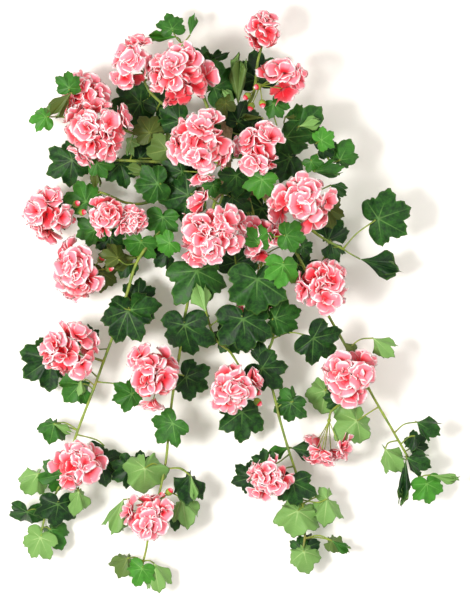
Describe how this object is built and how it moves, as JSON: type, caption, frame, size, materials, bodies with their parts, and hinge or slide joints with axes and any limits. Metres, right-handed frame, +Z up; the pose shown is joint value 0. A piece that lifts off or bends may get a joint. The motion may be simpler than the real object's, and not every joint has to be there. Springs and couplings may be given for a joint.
{
  "type": "trailing ivy geranium bush",
  "caption": "Cut ivy geranium bush that lies on its back: lobed ivy leaves on long trailing stems, with round heads of double pink flowers, for dressing a basket, wall or shelf.",
  "frame": {"origin": "on the surface that the bush lies on, under the middle of its woody base, on the flat underside of a resting leaf", "axes": "+Z up from the surface, -Y along the trailing stems, away from the base, +X to the right of someone who looks down with the base at the far end"},
  "size_m": [0.5275, 0.6739, 0.1637],
  "materials": {
    "foliage": "satin leaf",
    "petals": "soft petal",
    "bark": "matte stem"
  },
  "bodies": {
    "root": {"woody_base": "bark", "leafy_stem_a": "foliage", "leafy_stem_b": "foliage", "leafy_stem_c": "foliage", "leafy_stem_d": "foliage", "leafy_stem_e": "foliage", "leafy_stem_f": "foliage", "leafy_stem_g": "foliage", "leafy_stem_h": "foliage", "leafy_stem_i": "foliage", "leafy_stem_j": "foliage", "leafy_stem_k": "foliage", "leafy_stem_l": "foliage", "leafy_stem_m": "foliage", "leafy_stem_n": "foliage", "leafy_stem_o": "foliage", "leafy_stem_p": "foliage", "bloom_01": "petals", "bloom_02": "petals", "bloom_03": "petals", "bloom_04": "petals", "bloom_05": "petals", "bloom_06": "petals", "bloom_07": "petals", "bloom_08": "petals", "bloom_09": "petals", "bloom_10": "petals", "bloom_11": "petals", "bloom_12": "petals", "bloom_13": "petals", "bloom_14": "petals", "bloom_15": "petals", "bloom_16": "petals", "bloom_17": "petals", "bloom_18": "petals", "bloom_19": "petals", "bloom_20": "petals", "bloom_21": "petals", "bloom_22": "petals", "bloom_23": "petals", "bloom_24": "petals", "bloom_25": "petals"}
  },
  "joints": []
}
